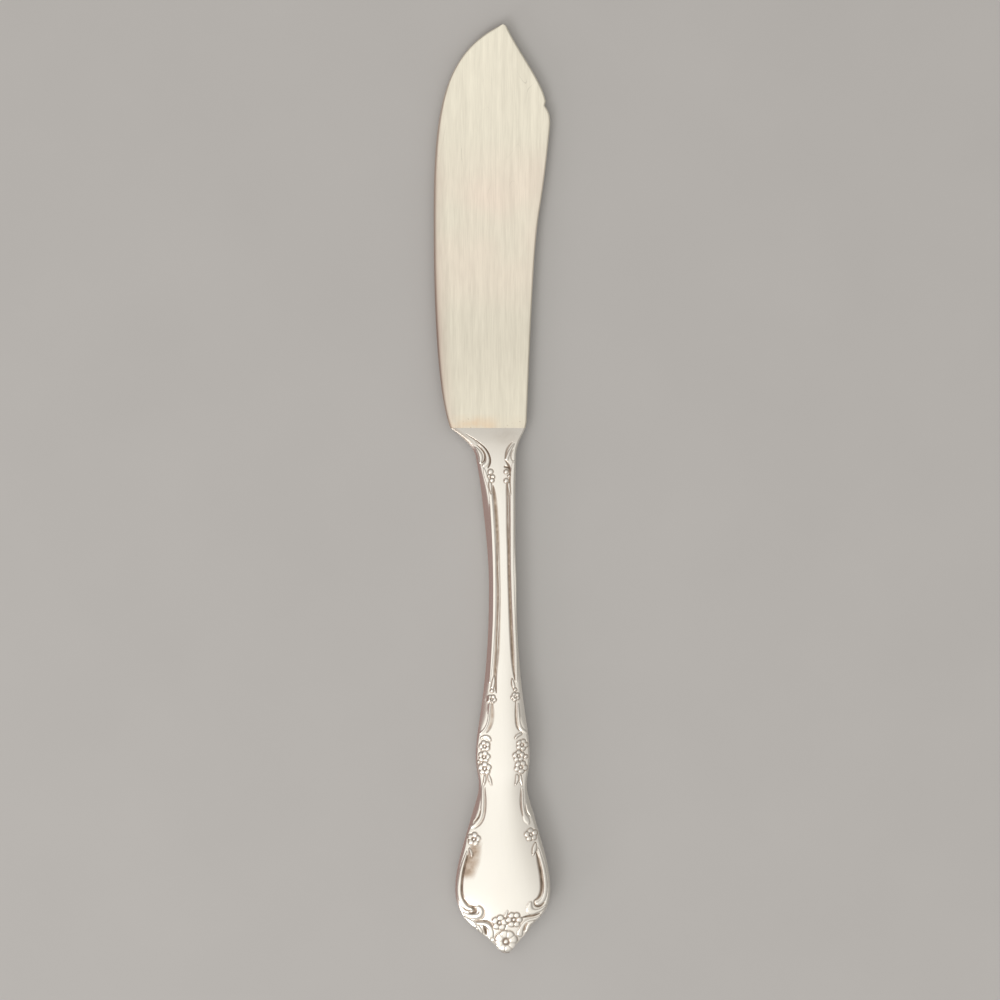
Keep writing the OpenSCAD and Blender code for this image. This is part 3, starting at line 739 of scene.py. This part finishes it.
def polished_metal():
    """Polished handle metal, with brown tarnish in the relief, painted shade on the flare, a painted
    reflection on the panel and faint rub marks.
    """
    bright = (0.945, 0.923, 0.886, 1)
    rubbed = (0.915, 0.887, 0.838, 1)
    tan = (0.49, 0.388, 0.31, 1)
    umber = (0.09, 0.072, 0.054, 1)
    material, shader, metal = finish_of("polished_handle_metal")
    place = metal.place()
    colour = metal.mixed(metal.noise(place, 160, 4), bright, rubbed)
    patches = metal.ranged(metal.noise(place, 900, 2), 0.3, 0.6, 0.68, 1)
    # The tarnish attribute also holds the painted shade on the flare and the painted reflection on the panel
    dark = metal.maths("MULTIPLY", metal.painted("tarnish_and_shade"), patches)
    colour = metal.mixed(metal.ranged(dark, 0, 0.6), colour, tan)
    colour = metal.mixed(metal.ranged(dark, 0.55, 1, 0, 0.9), colour, umber)
    rub_marks = metal.noise(metal.drawn_out(place, (2600, 260, 900)), 1, 3)
    gloss = metal.ranged(rub_marks, 0, 1, 0.16, 0.26)
    roughness = metal.maths("MULTIPLY_ADD", dark, 0.3, gloss)
    metal.feed(shader, {"Base Color": colour, "Metallic": 1.0, "Roughness": roughness})
    return material


handle_metal = polished_metal()
front = "handle_front_shell_dressed"
back = "handle_back_shell_dressed"
# The front shell also carries the painted reflection on its panel
placed(front, shell_mesh(front, 1, np.maximum(tarnish_and_shade, painted_reflection)), handle_metal)
placed(back, shell_mesh(back, -1, tarnish_and_shade), handle_metal)


# Solder of the seam
# A thin line of solder run between the rims of the two shells, dressed flush with their edges
# and polished with them, so that it shows only as a fine greyer line round the handle.

# How many rows of a shell go to one of the solder
solder_rows = 4


def solder_mesh():
    """Flat band of solder that follows the rims round the handle's end."""
    low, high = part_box("seam_solder")
    picks = every(solder_rows, hollow_row, len(row_y))
    side_y = row_y[picks]
    inner_left = left_edge[picks] + wall
    inner_right = right_edge[picks] - wall
    thirds = [inner_left[0] + (inner_right[0] - inner_left[0]) * share for share in (1 / 3, 2 / 3)]
    right_side = right_edge[picks] - corner_at(side_y)
    outer_x = np.concatenate([left_edge[picks][::-1], [left_edge[0], right_edge[0]], right_side])
    outer_y = np.concatenate([side_y[::-1], [end_y, end_y], side_y])
    inner_x = np.concatenate([inner_left[::-1], thirds, inner_right])
    inner_y = np.concatenate([side_y[::-1], [side_y[0], side_y[0]], side_y])
    corners = [(outer_x, outer_y, high.z), (inner_x, inner_y, high.z),
               (inner_x, inner_y, low.z), (outer_x, outer_y, low.z)]
    rings = np.stack([np.stack([x, y, np.full(len(x), z)], -1) for x, y, z in corners], axis=1)
    mesh = lofted("seam_solder_dressed", rings)
    mesh.shade_flat()
    return mesh


def dressed_solder():
    """Soft grey solder, duller than the shells."""
    dull = (0.56, 0.53, 0.48, 1)
    rubbed = (0.7, 0.66, 0.6, 1)
    material, shader, solder = finish_of("dressed_solder")
    grain = solder.noise(solder.place(), 700, 3)
    colour = solder.mixed(grain, dull, rubbed)
    roughness = solder.ranged(grain, 0, 1, 0.3, 0.5)
    solder.feed(shader, {"Base Color": colour, "Metallic": 1.0, "Roughness": roughness})
    return material


placed("seam_solder_dressed", solder_mesh(), dressed_solder())


# Cement of the handle
# Brown cement poured into the hollow handle before the tang is pushed in. It fills the handle
# and holds the blade, and shows only where a little of it is left in the joint.
def matt_grain(name, scale, dark, pale):
    """Matt material with an even grain of two shades."""
    material, shader, finish = finish_of(name)
    grain = finish.noise(finish.place(), scale, 4)
    finish.feed(shader, {"Base Color": finish.mixed(grain, dark, pale), "Roughness": 0.9})
    return material


cement_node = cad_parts["handle_filler"]
cement_node.data.materials.clear()
cement = matt_grain("handle_cement", 1800, (0.26, 0.16, 0.09, 1), (0.44, 0.3, 0.18, 1))
cement_node.data.materials.append(cement)


# Studio
# The knife lies on a plain pale floor, under a broad soft light from above and to the left. The
# floor slopes a little, because the knife rests on its handle's belly and tips towards its blade.
floor_half = 1.5
under = 2 * mid_z - struck[..., 2].max(axis=1)
belly = under.argmin()
spade_end = 30
beyond = row_mm > spade_end
floor_slope = ((under[beyond] - under[belly]) / (row_y[beyond] - row_y[belly])).min()
floor_drop = 0.03 * MM
floor_corners = [(sx * floor_half, sy * floor_half) for sx, sy in [(-1, -1), (1, -1), (1, 1), (-1, 1)]]
floor_mesh = bpy.data.meshes.new("floor")
floor_low = under[belly] - floor_drop
floor_points = [(x, y, floor_low + (y - row_y[belly]) * floor_slope) for x, y in floor_corners]
floor_mesh.from_pydata(floor_points, [], [(0, 1, 2, 3)])
floor_mesh.materials.append(matt_grain("pale_floor", 40, (0.56, 0.556, 0.56, 1), (0.6, 0.596, 0.6, 1)))
floor = bpy.data.objects.new("floor", floor_mesh)
bpy.context.scene.collection.objects.link(floor)


def soft_lamp(name, place, size, power, colour):
    """Square lamp that faces the knife's middle."""
    lamp = bpy.data.lights.new(name, "AREA")
    lamp.size = size
    lamp.energy = power
    lamp.color = colour
    holder = bpy.data.objects.new(name, lamp)
    holder.location = place
    holder.rotation_euler = (-Vector(place)).to_track_quat("-Z", "Y").to_euler()
    bpy.context.scene.collection.objects.link(holder)


soft_lamp("low_light", place=(-0.35, -0.55, 0.75), size=0.35, power=1.2, colour=(1.0, 0.97, 0.93))
soft_lamp("edge_light", place=(-0.48, -0.43, 0.22), size=0.2, power=0.45, colour=(1.0, 0.98, 0.95))

# Room round the knife: bright overhead, towards the handle and a little to the left, dim at the
# horizon, with a warm dark screen on the left
bright_way = Vector((-0.25, -0.3, 1)).normalized()
screen_way = Vector((-1, 0.05, 0.15)).normalized()
screen_colour = (0.33, 0.235, 0.215, 1)
room_light = [
    (0.0, (0.365, 0.347, 0.315, 1)),
    (0.4, (0.448, 0.425, 0.395, 1)),
    (0.7, (0.64, 0.613, 0.57, 1)),
    (0.8, (0.76, 0.728, 0.67, 1)),
    (0.9, (1.0, 0.972, 0.908, 1)),
    (0.95, (1.06, 1.032, 0.965, 1)),
    (1.0, (1.08, 1.051, 0.984, 1)),
]
world = bpy.data.worlds.new("room")
world.use_nodes = True
bpy.context.scene.world = world
light = Recipe(world.node_tree)
direction = light.add("TexCoord", {}).outputs["Generated"]
overhead = light.add("VectorMath", {0: direction, 1: bright_way}, operation="DOT_PRODUCT")
aside = light.add("VectorMath", {0: direction, 1: screen_way}, operation="DOT_PRODUCT")
light_ramp = light.add("ValToRGB", {"Fac": overhead.outputs["Value"]})
stops = light_ramp.color_ramp.elements
for position, colour in room_light[1:-1]:
    stops.new(position).color = colour
stops[0].color = room_light[0][1]
stops[-1].color = room_light[-1][1]
screen_reach = {"Value": aside.outputs["Value"], "From Min": 0.7, "From Max": 0.92}
screen_share = light.add("MapRange", screen_reach, interpolation_type="SMOOTHSTEP").outputs[0]
room = light.mixed(screen_share, light_ramp.outputs["Color"], screen_colour)
light.feed(world.node_tree.nodes["Background"], {"Color": room})

# Camera straight above the knife, framed like a square picture of 185.5 mm at the blade's face
view_w = 185.5 * MM
view_centre = (1.49 * MM, -2.13 * MM)
camera_z = 0.7
sensor_mm = 36
camera_data = bpy.data.cameras.new("camera")
camera_data.sensor_width = sensor_mm
camera_data.lens = sensor_mm * (camera_z - mid_z) / view_w
camera = bpy.data.objects.new("camera", camera_data)
camera.location = (*view_centre, camera_z)
bpy.context.scene.collection.objects.link(camera)
bpy.context.scene.camera = camera
bpy.context.scene.view_settings.view_transform = "Standard"
